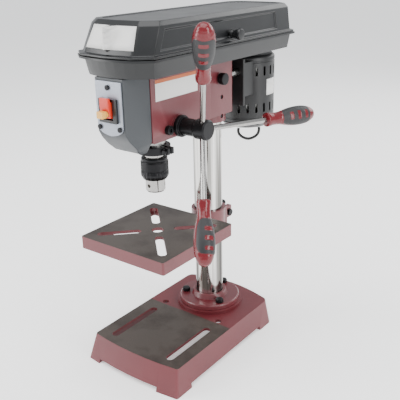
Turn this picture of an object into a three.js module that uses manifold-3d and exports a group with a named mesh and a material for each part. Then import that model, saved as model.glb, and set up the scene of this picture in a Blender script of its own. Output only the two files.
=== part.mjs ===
// Bench drill press: five speeds, tilting table, hinged pulley cover.
// Millimetres, +Z up. The design frame has the column's axis at x = 0, y = 0, the floor at z = 0,
// the operator on the -Y side and the feed handles on the +X side. The last lines move the whole
// press so that the origin is the middle of its footprint on the floor.

import * as THREE from 'three';
import { mergeVertices } from 'three/addons/utils/BufferGeometryUtils.js';
import Module from 'manifold-3d';

const wasm = await Module();
wasm.setup();

// ---- Driving dimensions ----------------------------------------------------------------------

const GAP = 0.3; // between pieces that touch

const COLUMN = { radius: 23, bore: 20, bottom: 47.6, top: 415 };
const BASE = { halfWidth: 84.4, front: -195, bow: 6, sideEnd: 54, rear: 70 };
const BASE_SHELL = { height: 42, plate: 4.8, wall: 7, foot: 7 };
const BASE_DRAFT = 0.089; // growth of the base's outline from its top face to the floor
const PAD = { radius: 55.5, top: 47 };
const FLANGE = { radius: 51, top: 56, collar: 27.5, collarTop: 64, boltCircle: 41 };

const SPINDLE_Y = -128.5;
const TABLE = { halfX: 79.5, halfY: 82, top: 219.6, rim: 19, plate: 4.8, wall: 6, y: -128.5 };
const TABLE_REAR = TABLE.y + TABLE.halfY;
const TILT_Z = 191;
const CLAMP = { radius: 28, bottom: 180, top: 216, shoulder: 24, shoulderEnd: 20 };
const EAR = { y: 42, z: 194.5, outer: 10.5, bottom: 184, top: 204, rear: 52 };

const HEAD = { half: 31, rearHalf: 29.5, front: -164, rear: 36, bottom: 366, top: 461 };
const CLAMP_STEP_Y = -31; // where the head's column clamp begins
const QUILL = { radius: 17, bottom: 342.2, top: 440, bore: 7.2, seat: 9.65 };
const PINION = { y: -108, z: 381, module: 17 / 12, teeth: 12, shaft: 9.9, halfWidth: 12 };
const COLLAR = { radius: 24.5, bottom: 342.5, top: 354, ear: 32, screwX: 27.6 };
const CHUCK = { nose: 284, sleeveBottom: 303, sleeveTop: 336, top: 341.5, core: 14.5, sleeve: 20.5 };

const HUB = { x: 72.5, end: 84, barrel: 12.3, head: 14.5 };
const SPOKE = { radius: 3.9, tilt: 21.5, turn: -1.5, reach: 192.5, grip: 90.5 };
const SPOKE_TRIM = [6, -6, 0]; // how far each spoke is screwed out of the hub

const PLATE = { y: -210.6, half: 22.8, top: 457, bottom: 394, thick: 2 };
const SWITCH = { half: 16, bottom: 403, top: 435, pivotZ: 421, pivotY: -213 };

const PAN = { bottom: 461.3, half: 63, front: -207, rear: 160, seam: 486, wall: 3 };
const LID = { top: 531, wall: 3 };
const LID_HINGE = { x: -67.5, z: 487, radius: 1.6 };
const PULLEY = { bottom: 466.5, step: 9, radii: [40, 35.5, 31, 26.5, 22] };
const MOTOR = { y: 113, radius: 46.5, top: 453, bottom: 344, bell: 330 };
const ROD = { x: 21, z: 431, radius: 5.5, from: -26, to: 76 };

// ---- Materials -------------------------------------------------------------------------------

const material = (color, roughness, metalness) =>
  new THREE.MeshStandardMaterial({ color, roughness, metalness });

const redPaint = material(0x7c3a3e, 0.45, 0.1);
const machinedIron = material(0x57524e, 0.5, 0.7);
const bracketPaint = material(0x8c4045, 0.45, 0.1);
const chrome = material(0xc9c9c6, 0.12, 1);
const darkSteel = material(0x3a3a3a, 0.4, 0.8);
const brightSteel = material(0x9c9c9a, 0.3, 1);
const blackPlastic = material(0x34373a, 0.45, 0);
const grayPlastic = material(0x63676b, 0.5, 0);
const silverPlate = material(0xa4a9b4, 0.35, 0.6);
const switchBlack = material(0x1c1c1e, 0.5, 0);
const switchRed = material(0xd83a28, 0.35, 0);
const switchYellow = material(0xe8b85a, 0.4, 0);
const gripRed = material(0xa02830, 0.25, 0);
const motorBlack = material(0x232425, 0.5, 0.3);
const aluminium = material(0xb4b6b8, 0.35, 1);
const rubber = material(0x1e1e1e, 0.8, 0);

// ---- Solids ----------------------------------------------------------------------------------

// Turns a closed three.js geometry into a manifold solid with its faces pointing out.
function solid(geometry) {
  const bare = geometry.index ? geometry.toNonIndexed() : geometry.clone();
  bare.deleteAttribute('normal');
  bare.deleteAttribute('uv');
  const merged = mergeVertices(bare, 1e-4);
  const position = merged.attributes.position;
  const corner = [new THREE.Vector3(), new THREE.Vector3(), new THREE.Vector3()];
  const triangles = [];
  let volume = 0;
  for (let i = 0; i < merged.index.count; i += 3) {
    const [a, b, c] = [0, 1, 2].map((k) => merged.index.getX(i + k));
    if (a === b || b === c || c === a) continue;
    [a, b, c].forEach((v, k) => corner[k].fromBufferAttribute(position, v));
    volume += corner[0].dot(corner[1].clone().cross(corner[2]));
    triangles.push([a, b, c]);
  }
  const outward = volume < 0 ? triangles.map(([a, b, c]) => [a, c, b]) : triangles;
  return new wasm.Manifold(
    new wasm.Mesh({
      numProp: 3,
      vertProperties: position.array,
      triVerts: new Uint32Array(outward.flat()),
    }),
  );
}

const join = (first, ...others) => others.reduce((all, next) => all.add(next), first);
const cut = (body, ...tools) => tools.reduce((rest, tool) => rest.subtract(tool), body);

function geometryOf(manifold) {
  const mesh = manifold.getMesh();
  const geometry = new THREE.BufferGeometry();
  geometry.setAttribute('position', new THREE.BufferAttribute(mesh.vertProperties, 3));
  geometry.setIndex(new THREE.BufferAttribute(mesh.triVerts, 1));
  return geometry;
}

// Stands a shape that was made along +Z on another axis, then moves it to its place.
function placed(geometry, axis, u, v, from) {
  if (axis === 'x') geometry.rotateY(Math.PI / 2).translate(from, u, v);
  if (axis === 'y') geometry.rotateX(-Math.PI / 2).translate(u, from, v);
  if (axis === 'z') geometry.translate(u, v, from);
  return geometry;
}

// A round bar between two places along an axis; u and v are the other two coordinates.
function bar(axis, radius, from, to, u = 0, v = 0, sides = 24, endRadius = radius) {
  const length = to - from;
  const geometry = new THREE.CylinderGeometry(endRadius, radius, length, sides);
  geometry.rotateX(Math.PI / 2).translate(0, 0, length / 2);
  return solid(placed(geometry, axis, u, v, from));
}

const pipe = (axis, radius, bore, from, to, u = 0, v = 0, sides = 32) =>
  cut(bar(axis, radius, from, to, u, v, sides), bar(axis, bore, from - 1, to + 1, u, v, sides));

function block(x0, x1, y0, y1, z0, z1) {
  const geometry = new THREE.BoxGeometry(x1 - x0, y1 - y0, z1 - z0);
  return solid(geometry.translate((x0 + x1) / 2, (y0 + y1) / 2, (z0 + z1) / 2));
}

// A turned piece from [radius, height] pairs that start and end on the axis.
function turnedGeometry(profile, sides) {
  const points = profile.map(([radius, height]) => new THREE.Vector2(radius, height));
  return new THREE.LatheGeometry(points, sides).rotateX(Math.PI / 2);
}

const turned = (profile, axis, u, v, from, sides = 32) =>
  solid(placed(turnedGeometry(profile, sides), axis, u, v, from));

// An outline in the X-Y plane, raised from z0 to z1.
function raised(shape, z0, z1, curveSegments = 8) {
  const options = { depth: z1 - z0, bevelEnabled: false, curveSegments };
  return new THREE.ExtrudeGeometry(shape, options).translate(0, 0, z0);
}

// The same, with the outline drawn in towards one end: scaleAt(z) gives the X and Y factors.
function drafted(shape, z0, z1, scaleAt, curveSegments = 8) {
  const geometry = raised(shape, z0, z1, curveSegments);
  const position = geometry.attributes.position;
  for (let i = 0; i < position.count; i += 1) {
    const [factorX, factorY] = scaleAt(position.getZ(i));
    position.setX(i, position.getX(i) * factorX);
    position.setY(i, position.getY(i) * factorY);
  }
  return solid(geometry);
}

// An outline drawn in the Y-Z plane, from x0 to x1.
function sideProfile(points, x0, x1) {
  const shape = new THREE.Shape(points.map(([y, z]) => new THREE.Vector2(y, z)));
  const geometry = new THREE.ExtrudeGeometry(shape, { depth: x1 - x0, bevelEnabled: false });
  const matrix = new THREE.Matrix4().set(0, 0, 1, x0, 1, 0, 0, 0, 0, 1, 0, 0, 0, 0, 0, 1);
  return solid(geometry.applyMatrix4(matrix));
}

// A slot with round ends between two points of the X-Y plane.
function slot(x0, y0, x1, y1, width, z0, z1) {
  const radius = width / 2;
  const angle = Math.atan2(y1 - y0, x1 - x0);
  const shape = new THREE.Shape();
  shape.absarc(x0, y0, radius, angle + Math.PI / 2, angle + Math.PI * 1.5, false);
  shape.absarc(x1, y1, radius, angle - Math.PI / 2, angle + Math.PI / 2, false);
  return solid(raised(shape, z0, z1, 3));
}

// A rectangle with rounded corners, centred on (0, y).
function roundedRectangle(halfX, halfY, radius, y = 0) {
  const shape = new THREE.Shape();
  const corners = [
    [halfX, y - halfY, -90],
    [halfX, y + halfY, 0],
    [-halfX, y + halfY, 90],
    [-halfX, y - halfY, 180],
  ];
  for (const [x, cornerY, start] of corners) {
    const centreX = x - Math.sign(x) * radius;
    const centreY = cornerY - Math.sign(cornerY - y) * radius;
    const from = THREE.MathUtils.degToRad(start);
    shape.absarc(centreX, centreY, radius, from, from + Math.PI / 2, false);
  }
  return shape;
}

const press = new THREE.Group();

function addPart(name, manifold, finish) {
  const mesh = new THREE.Mesh(geometryOf(manifold), finish);
  mesh.name = name;
  press.add(mesh);
  return mesh;
}

const polar = (radius, degrees) => [
  radius * Math.cos(THREE.MathUtils.degToRad(degrees)),
  radius * Math.sin(THREE.MathUtils.degToRad(degrees)),
];

// ---- Base and column -------------------------------------------------------------------------

function baseOutline(inset) {
  const half = BASE.halfWidth - inset;
  const front = BASE.front + inset;
  const rear = BASE.rear - inset;
  const corner = 5 - inset / 2;
  const shoulder = half - 12;
  const shoulderEnd = BASE.sideEnd + 3 - inset;
  const turnEnd = BASE.sideEnd - inset / 2;
  const shape = new THREE.Shape();
  shape.moveTo(-half + corner, front);
  shape.quadraticCurveTo(0, front - 2 * BASE.bow, half - corner, front);
  shape.quadraticCurveTo(half, front, half, front + corner);
  shape.lineTo(half, BASE.sideEnd - 10);
  shape.quadraticCurveTo(half, turnEnd, shoulder, shoulderEnd);
  shape.quadraticCurveTo(30, rear, 0, rear);
  shape.quadraticCurveTo(-30, rear, -shoulder, shoulderEnd);
  shape.quadraticCurveTo(-half, turnEnd, -half, BASE.sideEnd - 10);
  shape.lineTo(-half, front + corner);
  shape.quadraticCurveTo(-half, front, -half + corner, front);
  return shape;
}

// The outline grows from the top face to the floor, more in width than in length.
function baseGrowth(z) {
  const factor = 1 + BASE_DRAFT * Math.max(0, 1 - z / BASE_SHELL.height);
  return [factor, 1 + (factor - 1) * 0.7];
}

function addBase() {
  const { height, plate, wall, foot } = BASE_SHELL;
  const underside = height - plate;
  const shell = drafted(baseOutline(0), 0, height, baseGrowth, 6);
  const pocket = drafted(baseOutline(wall), -1, underside, baseGrowth, 6);
  const feet = { front: BASE.front + 24, rear: BASE.sideEnd - 34 };
  const archSides = block(-120, 120, feet.front, feet.rear, -1, foot);
  const archFront = block(-66, 54, BASE.front - 30, feet.front, -1, foot);
  const slots = [-1, 1].map((side) => slot(side * 56, -177, side * 56, -86, 13, underside - 1, 50));
  const holes = [-1, 1].map((side) => bar('z', 5.5, underside - 1, 50, side * 56, -53, 12));
  const body = join(
    cut(shell, pocket),
    bar('z', PAD.radius, underside, PAD.top, 0, 0, 36),
    bar('z', 30, 14, underside + 1, 0, 0, 24),
    block(-3, 3, 26, BASE.rear - 5, 14, underside + 1),
    block(-3, 3, BASE.front - 1, -26, 14, underside + 1),
  );
  const openings = [archSides, archFront, ...slots, ...holes, ...flangeBoltBores()];
  addPart('base', cut(body, ...openings), redPaint);
}

const flangeBoltPlaces = [-30, 90, 210].map((degrees) => polar(FLANGE.boltCircle, degrees));

const flangeBoltBores = () =>
  flangeBoltPlaces.map(([x, y]) => bar('z', 4.5, 25, FLANGE.top + 1, x, y, 10));

function addColumn() {
  const flange = turned(
    [
      [0, PAD.top + GAP],
      [FLANGE.radius, PAD.top + GAP],
      [FLANGE.radius, FLANGE.top - 2],
      [FLANGE.radius - 2, FLANGE.top],
      [FLANGE.collar + 3, FLANGE.top],
      [FLANGE.collar, FLANGE.collarTop],
      [0, FLANGE.collarTop],
    ],
    'z', 0, 0, 0, 36,
  );
  const socket = bar('z', COLUMN.radius + GAP, 40, 70, 0, 0, 36);
  addPart('column_flange', cut(flange, socket, ...flangeBoltBores()), redPaint);
  const tube = pipe('z', COLUMN.radius, COLUMN.bore, COLUMN.bottom, COLUMN.top, 0, 0, 36);
  addPart('column', tube, chrome);
  flangeBoltPlaces.forEach(([x, y], i) => {
    const bolt = join(
      bar('z', 7, FLANGE.top + GAP, FLANGE.top + 6.5, x, y, 6),
      bar('z', 3.9, 30, FLANGE.top + 1, x, y, 8),
    );
    addPart(`flange_bolt_${i + 1}`, bolt, darkSteel);
  });
}

// ---- Table -----------------------------------------------------------------------------------

function addTable() {
  const rimBottom = TABLE.top - TABLE.rim;
  const plateBottom = TABLE.top - TABLE.plate;
  const outline = roundedRectangle(TABLE.halfX, TABLE.halfY, 3, TABLE.y);
  const inside = roundedRectangle(TABLE.halfX - TABLE.wall, TABLE.halfY - TABLE.wall, 2.5, TABLE.y);
  const diagonals = [45, 135, 225, 315].map((degrees) => {
    const [x0, y0] = polar(31, degrees);
    const [x1, y1] = polar(84, degrees);
    return slot(x0, TABLE.y + y0, x1, TABLE.y + y1, 12.5, 180, TABLE.top + 1);
  });
  const rib = join(
    block(-16, 16, -72, TABLE_REAR, TILT_Z - 2, plateBottom + 1),
    bar('y', 16, -72, TABLE_REAR, 0, TILT_Z, 24),
  );
  const body = join(cut(solid(raised(outline, rimBottom, TABLE.top, 4)),
    solid(raised(inside, rimBottom - 1, plateBottom, 3))), rib);
  const centreHole = bar('z', 9, 180, TABLE.top + 1, 0, TABLE.y, 24);
  const pivotHole = bar('y', 5.3, -80, -40, 0, TILT_Z, 16);
  addPart('table', cut(body, ...diagonals, centreHole, pivotHole), machinedIron);
}

function addTableBracket() {
  const { bottom, top, shoulder, shoulderEnd } = CLAMP;
  const body = join(
    bar('z', CLAMP.radius, bottom, top, 0, 0, 32),
    block(-shoulder, shoulder, 0, shoulderEnd, bottom, top),
    block(-EAR.outer, EAR.outer, shoulderEnd - 2, EAR.rear, EAR.bottom, EAR.top),
    block(-14, 14, TABLE_REAR + 0.4, -20, TILT_Z - 8, TILT_Z + 15),
    bar('y', 16, TABLE_REAR + 0.4, -24, 0, TILT_Z, 24),
  );
  const split = block(-2.2, 2.2, shoulderEnd - 2, EAR.rear + 8, bottom - 1, top + 1);
  const bore = bar('z', COLUMN.radius + 0.35, 170, 240, 0, 0, 36);
  const lockHole = bar('x', 4.4, -20, 20, EAR.y, EAR.z, 12);
  const pivotHole = bar('y', 5.3, -60, -30.4, 0, TILT_Z, 16);
  addPart('table_bracket', cut(body, bore, split, lockHole, pivotHole), bracketPaint);

  const pivot = join(
    bar('y', 5, -72.5, -32.5, 0, TILT_Z, 12),
    bar('y', 9, -79, -72.4, 0, TILT_Z, 6),
  );
  addPart('table_tilt_bolt', pivot, darkSteel);

  const leverX = -17.5;
  const leverEnd = [EAR.y + 24, EAR.z + 3];
  const lever = join(
    bar('x', 4, -16, 12, EAR.y, EAR.z, 12),
    bar('x', 5.8, EAR.outer + GAP, 16.5, EAR.y, EAR.z, 6),
    bar('x', 7, -21, -EAR.outer - GAP, EAR.y, EAR.z, 16),
    strut([leverX, EAR.y, EAR.z], [leverX, ...leverEnd], 3),
    solid(new THREE.SphereGeometry(5.5, 12, 8).translate(leverX, ...leverEnd)),
  );
  addPart('table_lock_lever', lever, darkSteel);
}

// A round strut between two points.
function strut(from, to, radius, sides = 10) {
  const start = new THREE.Vector3(...from);
  const span = new THREE.Vector3(...to).sub(start);
  const geometry = new THREE.CylinderGeometry(radius, radius, span.length(), sides);
  geometry.translate(0, span.length() / 2, 0);
  const turn = new THREE.Quaternion().setFromUnitVectors(
    new THREE.Vector3(0, 1, 0),
    span.clone().normalize(),
  );
  return solid(geometry.applyQuaternion(turn).translate(...from));
}

// ---- Head casting ----------------------------------------------------------------------------

function headOutline() {
  const shape = new THREE.Shape();
  shape.moveTo(-HEAD.half, HEAD.front);
  shape.lineTo(HEAD.half, HEAD.front);
  shape.lineTo(HEAD.half, CLAMP_STEP_Y);
  shape.lineTo(HEAD.rearHalf, CLAMP_STEP_Y + 1.5);
  shape.lineTo(HEAD.rearHalf, HEAD.rear - 12);
  shape.absarc(HEAD.rearHalf - 12, HEAD.rear - 12, 12, 0, Math.PI / 2, false);
  shape.absarc(-HEAD.rearHalf + 12, HEAD.rear - 12, 12, Math.PI / 2, Math.PI, false);
  shape.lineTo(-HEAD.rearHalf, CLAMP_STEP_Y + 1.5);
  shape.lineTo(-HEAD.half, CLAMP_STEP_Y);
  return shape;
}

const headScrewHeights = [372, 402];
const tensionScrewPlace = { y: -6, z: ROD.z };
const guideScrewPlace = { y: -133, z: 380 };
const gland = { y: -40, z: 392, radius: 7, length: 13 };

function addHead() {
  const upper = solid(raised(headOutline(), 374, HEAD.top, 4));
  const nose = sideProfile(
    [[HEAD.front, 375], [HEAD.front, HEAD.bottom + 2], [HEAD.front + 3, HEAD.bottom],
      [-101, HEAD.bottom], [-92, 375]],
    -HEAD.half, HEAD.half,
  );
  const boss = bar('z', HEAD.rearHalf, 363, 375, 0, 0, 32);
  const pinionBoss = bar('x', 16, -HEAD.half - 2.5, HEAD.half + 2.5, PINION.y, PINION.z, 20);
  const columnBore = bar('z', COLUMN.radius + GAP, 360, COLUMN.top + GAP, 0, 0, 36);
  const quillBore = bar('z', QUILL.radius + GAP, 360, QUILL.top + 2, 0, SPINDLE_Y, 28);
  const drivenBore = bar('z', 13.6, QUILL.top, HEAD.top + 5, 0, SPINDLE_Y, 20);
  const pinionBore = bar('x', PINION.shaft + 0.45, -60, 60, PINION.y, PINION.z, 20);
  const rodBores = [-1, 1].map((side) =>
    bar('y', ROD.radius + GAP, ROD.from - 15, 60, side * ROD.x, ROD.z, 12));
  const screwBores = headScrewHeights.map((z) => bar('x', 3.6, 22, 60, 0, z, 8));
  const tensionBore = bar('x', 3.6, ROD.x, 60, tensionScrewPlace.y, tensionScrewPlace.z, 8);
  const { y: guideY, z: guideZ } = guideScrewPlace;
  const guideBore = bar('x', 3.6, QUILL.radius - 4, 60, guideY, guideZ, 8);
  const glandBore = bar('x', 4.6, -60, -24, gland.y, gland.z, 12);
  addPart('head_casting', cut(join(upper, nose, boss, pinionBoss), columnBore, quillBore, drivenBore,
    pinionBore, ...rodBores, ...screwBores, tensionBore, guideBore, glandBore), redPaint);

  headScrewHeights.forEach((z, i) => {
    const screw = bar('x', 3.1, COLUMN.radius + 0.4, HEAD.rearHalf - 1.5, 0, z, 8);
    addPart(`head_lock_screw_${i + 1}`, screw, darkSteel);
  });
  const glandStart = -HEAD.half - GAP;
  const glandBody = join(
    bar('x', gland.radius, glandStart - 4, glandStart, gland.y, gland.z, 6),
    bar('x', 4.6, glandStart - gland.length, glandStart - 3.9, gland.y, gland.z, 16, 5.6),
    bar('x', 4.2, glandStart - 1, -25, gland.y, gland.z, 12),
  );
  const cordHole = bar('x', 2.9, -60, -20, gland.y, gland.z, 12);
  addPart('cord_gland', cut(glandBody, cordHole), rubber);

  const guideHead = bar('x', 6.8, HEAD.half + GAP, HEAD.half + 7, guideY, guideZ, 12);
  const guide = join(guideHead, bar('x', 3.1, QUILL.radius - 3, HEAD.half + 1, guideY, guideZ, 8));
  const guideSocket = bar('x', 3, HEAD.half + 4, HEAD.half + 8, guideY, guideZ, 6);
  addPart('quill_guide_screw', cut(guide, guideSocket), darkSteel);
}

// ---- Quill, spindle and chuck ----------------------------------------------------------------

const rackPitch = Math.PI * PINION.module;
const rackPitchOffset = PINION.y - SPINDLE_Y - (PINION.module * PINION.teeth) / 2;

function addQuill() {
  const sleeve = bar('z', QUILL.radius, QUILL.bottom, QUILL.top, 0, SPINDLE_Y, 28);
  const bearingSeats = join(
    bar('z', QUILL.seat, QUILL.bottom - 1, QUILL.bottom + 9.3, 0, SPINDLE_Y, 18),
    bar('z', QUILL.seat, QUILL.top - 9.3, QUILL.top + 1, 0, SPINDLE_Y, 18),
    bar('z', QUILL.bore, QUILL.bottom - 1, QUILL.top + 1, 0, SPINDLE_Y, 18),
  );
  const rack = { bottom: PINION.z - 1.6 * rackPitch, teeth: 14 };
  const root = SPINDLE_Y + rackPitchOffset - 1.25 * PINION.module;
  const tip = SPINDLE_Y + rackPitchOffset + 0.9 * PINION.module;
  const flat = block(-14, 14, root, -100, rack.bottom, QUILL.top + 1);
  const [rootHalf, tipHalf] = [0.24 * rackPitch, 0.08 * rackPitch];
  const teeth = [];
  for (let i = 0; i < rack.teeth; i += 1) {
    const z = PINION.z + (i - 1) * rackPitch;
    teeth.push(sideProfile(
      [[root - 0.2, z - rootHalf], [tip, z - tipHalf], [tip, z + tipHalf], [root - 0.2, z + rootHalf]],
      -10.5, 10.5,
    ));
  }
  const { y: guideY, z: guideZ } = guideScrewPlace;
  const guideSlot = block(13.2, 20, guideY - 3.7, guideY + 3.7, guideZ - 4, QUILL.top + 1);
  const body = cut(join(cut(sleeve, flat), ...teeth), bearingSeats, guideSlot);
  addPart('quill', body, brightSteel);

  const collarRing = join(
    bar('z', COLLAR.radius, COLLAR.bottom, COLLAR.top, 0, SPINDLE_Y, 32),
    block(18, COLLAR.ear, SPINDLE_Y - 7, SPINDLE_Y + 7, COLLAR.bottom + 1, COLLAR.top - 1),
  );
  const collarMid = (COLLAR.bottom + COLLAR.top) / 2;
  addPart('quill_collar', cut(collarRing,
    bar('z', QUILL.radius + GAP, 330, 360, 0, SPINDLE_Y, 28),
    block(16, 40, SPINDLE_Y - 1.2, SPINDLE_Y + 1.2, 330, 360),
    bar('y', 2.4, SPINDLE_Y - 20, SPINDLE_Y + 20, COLLAR.screwX, collarMid, 10)), darkSteel);
  addPart('collar_screw', join(
    bar('y', 2.1, SPINDLE_Y - 8, SPINDLE_Y + 6, COLLAR.screwX, collarMid, 10),
    bar('y', 3.6, SPINDLE_Y - 11.5, SPINDLE_Y - 7.3, COLLAR.screwX, collarMid, 12)), darkSteel);
}

const bearing = (from, to, inner, outer) => pipe('z', outer, inner, from, to, 0, SPINDLE_Y, 18);

function addSpindle() {
  const spindle = turned(
    [[0, 320], [6, 320], [6.2, 337], [6, 348], [6, 440], [4.9, 442], [4.9, 505], [0, 505]],
    'z', 0, SPINDLE_Y, 0, 16,
  );
  addPart('spindle', spindle, brightSteel);
  addPart('lower_bearing', bearing(QUILL.bottom + 0.3, QUILL.bottom + 9, 6.5, 9.3), brightSteel);
  addPart('upper_bearing', bearing(QUILL.top - 9, QUILL.top - 0.5, 6.5, 9.3), brightSteel);
}

const jawSlope = 18; // degrees from the spindle's axis

function jawFrame(degrees) {
  const frame = new THREE.Matrix4().makeRotationZ(THREE.MathUtils.degToRad(degrees));
  return new THREE.Matrix4().makeTranslation(0, SPINDLE_Y, CHUCK.nose).multiply(frame);
}

// A round jaw or its bore, leaning in towards the nose.
function jawBar(degrees, radius, from, to) {
  const geometry = new THREE.CylinderGeometry(radius, radius, to - from, 10);
  geometry.rotateX(Math.PI / 2).translate(0, 0, (from + to) / 2);
  geometry.rotateY(THREE.MathUtils.degToRad(jawSlope)).translate(2.6, 0, 0);
  return solid(geometry.applyMatrix4(jawFrame(degrees)));
}

function addChuck() {
  const core = turned(
    [[0, CHUCK.nose], [CHUCK.core - 1.3, CHUCK.nose], [CHUCK.core, CHUCK.nose + 2],
      [CHUCK.core, CHUCK.top - 1.5], [CHUCK.core - 1.5, CHUCK.top], [0, CHUCK.top]],
    'z', 0, SPINDLE_Y, 0, 28,
  );
  const socket = bar('z', 6.6, 319, CHUCK.top + 1, 0, SPINDLE_Y, 16, 6.8);
  const mouth = bar('z', 4.6, CHUCK.nose - 1, 319.5, 0, SPINDLE_Y, 12);
  const keyHoles = [30, 150, 270].map((degrees) => {
    const [x, y] = polar(1, degrees);
    return strut([x * 9.5, SPINDLE_Y + y * 9.5, 294], [x * 18, SPINDLE_Y + y * 18, 294], 3, 8);
  });
  const jawAngles = [-30, 90, 210];
  const bores = jawAngles.map((degrees) => jawBar(degrees, 3.1, -4, 30.8));
  addPart('chuck_body', cut(core, socket, mouth, ...keyHoles, ...bores), chrome);
  jawAngles.forEach((degrees, i) => {
    addPart(`chuck_jaw_${i + 1}`, jawBar(degrees, 2.7, 2.5, 20.5), brightSteel);
  });

  const ring = turned(
    [[0, CHUCK.sleeveBottom], [17.5, CHUCK.sleeveBottom], [CHUCK.sleeve, CHUCK.sleeveBottom + 5],
      [CHUCK.sleeve, CHUCK.sleeveTop - 2.5], [CHUCK.sleeve - 2.5, CHUCK.sleeveTop],
      [0, CHUCK.sleeveTop]],
    'z', 0, SPINDLE_Y, 0, 32,
  );
  const notches = [];
  const notchCount = 16;
  for (let i = 0; i < notchCount; i += 1) {
    const [x, y] = polar(1, (i * 360) / notchCount);
    const z = CHUCK.sleeveBottom;
    notches.push(strut([x * 12, SPINDLE_Y + y * 12, z - 1], [x * 26, SPINDLE_Y + y * 26, z + 2], 1.4, 5));
  }
  const coreBore = bar('z', CHUCK.core + 0.4, 300, 345, 0, SPINDLE_Y, 28);
  addPart('chuck_sleeve', cut(ring, coreBore, ...notches), darkSteel);
}

// ---- Feed ------------------------------------------------------------------------------------

function addFeedShaft() {
  const { y, z, teeth, shaft, halfWidth } = PINION;
  const pitchRadius = (PINION.module * teeth) / 2;
  const root = pitchRadius - 1.2 * PINION.module;
  const tip = pitchRadius + 0.8 * PINION.module;
  const gear = new THREE.Shape();
  for (let i = 0; i < teeth; i += 1) {
    // a gap of the gear faces the middle of a rack tooth, towards -Y
    const middle = 180 + ((i + 0.5) * 360) / teeth;
    const corners = [[root, -8], [tip, -2.6], [tip, 2.6], [root, 8]];
    for (const [radius, spread] of corners) {
      const [gearY, gearZ] = polar(radius, middle + spread);
      if (i === 0 && radius === root && spread < 0) gear.moveTo(gearY, gearZ);
      else gear.lineTo(gearY, gearZ);
    }
  }
  const options = { depth: halfWidth * 2, bevelEnabled: false };
  const geometry = new THREE.ExtrudeGeometry(gear, options);
  const toSide = new THREE.Matrix4().set(0, 0, 1, -halfWidth, 1, 0, 0, y, 0, 1, 0, z, 0, 0, 0, 1);
  const pinion = solid(geometry.applyMatrix4(toSide));
  addPart('feed_shaft', join(
    pinion,
    bar('x', shaft, halfWidth - 0.5, HEAD.half + 2, y, z, 20),
    bar('x', shaft, -HEAD.half - 2, -halfWidth + 0.5, y, z, 20),
    bar('x', 7, HEAD.half + 1, 58, y, z, 16),
    bar('x', 4.5, -HEAD.half - 21, -HEAD.half - 1, y, z, 12),
  ), brightSteel);
}

function spokeMatrix(index) {
  const angle = THREE.MathUtils.degToRad(SPOKE.turn + index * 120);
  const tilt = THREE.MathUtils.degToRad(SPOKE.tilt);
  const along = new THREE.Vector3(
    Math.sin(tilt),
    Math.cos(tilt) * Math.cos(angle),
    Math.cos(tilt) * Math.sin(angle),
  );
  const turn = new THREE.Quaternion().setFromUnitVectors(new THREE.Vector3(0, 0, 1), along);
  const matrix = new THREE.Matrix4().makeRotationFromQuaternion(turn);
  return matrix.setPosition(HUB.x, PINION.y, PINION.z);
}

function alongSpoke(index, profile, sides) {
  return solid(turnedGeometry(profile, sides).applyMatrix4(spokeMatrix(index)));
}

const stick = (index, radius, from, to, sides) =>
  alongSpoke(index, [[0, from], [radius, from], [radius, to], [0, to]], sides);

function addFeedHub() {
  const { y, z } = PINION;
  const barrelStart = HEAD.half + 9;
  const body = join(
    turned([[0, 0], [HUB.barrel, 0], [HUB.barrel, 63 - barrelStart], [HUB.head, 66 - barrelStart],
      [HUB.head, HUB.end - 2 - barrelStart], [HUB.head - 2, HUB.end - barrelStart],
      [0, HUB.end - barrelStart]], 'x', y, z, barrelStart, 28),
  );
  const bore = bar('x', 7.3, barrelStart - 1, 58.5, y, z, 16);
  const spokeHoles = [0, 1, 2].map((i) => stick(i, SPOKE.radius + GAP, 6.5, 30, 12));
  addPart('feed_hub', cut(body, bore, ...spokeHoles), darkSteel);

  const dialInner = HEAD.half + 3.2;
  const ring = join(
    bar('x', 15.8, dialInner, dialInner + 5, y, z, 28),
    bar('x', 14.2, dialInner + 4.9, dialInner + 8, y, z, 28),
  );
  const dialBore = bar('x', HUB.barrel + 0.35, barrelStart - 0.6, 60, y, z, 24);
  const shaftBore = bar('x', PINION.shaft + 0.35, 20, 60, y, z, 20);
  addPart('depth_dial', cut(ring, dialBore, shaftBore), darkSteel);
}

const gripProfile = [
  [0, 0], [9.3, 0], [10.3, 1.5], [10.3, 6], [8.8, 12], [8.9, 24], [12, 36], [14, 46],
  [14.4, 58], [12.8, 76], [8.6, 86.5], [0, 90.5],
];

function addSpokesAndGrips() {
  for (const index of [0, 1, 2]) {
    const reach = SPOKE.reach + SPOKE_TRIM[index];
    const gripStart = reach - SPOKE.grip;
    const spoke = stick(index, SPOKE.radius, 7, gripStart + 30, 12);
    addPart(`spoke_${index + 1}`, spoke, chrome);
    const profile = gripProfile.map(([radius, along]) => [radius, gripStart + along]);
    const bore = stick(index, SPOKE.radius + GAP, gripStart - 1, gripStart + 30.5, 12);
    addPart(`grip_${index + 1}`, cut(alongSpoke(index, profile, 16), bore), gripRed);
  }
}

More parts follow.
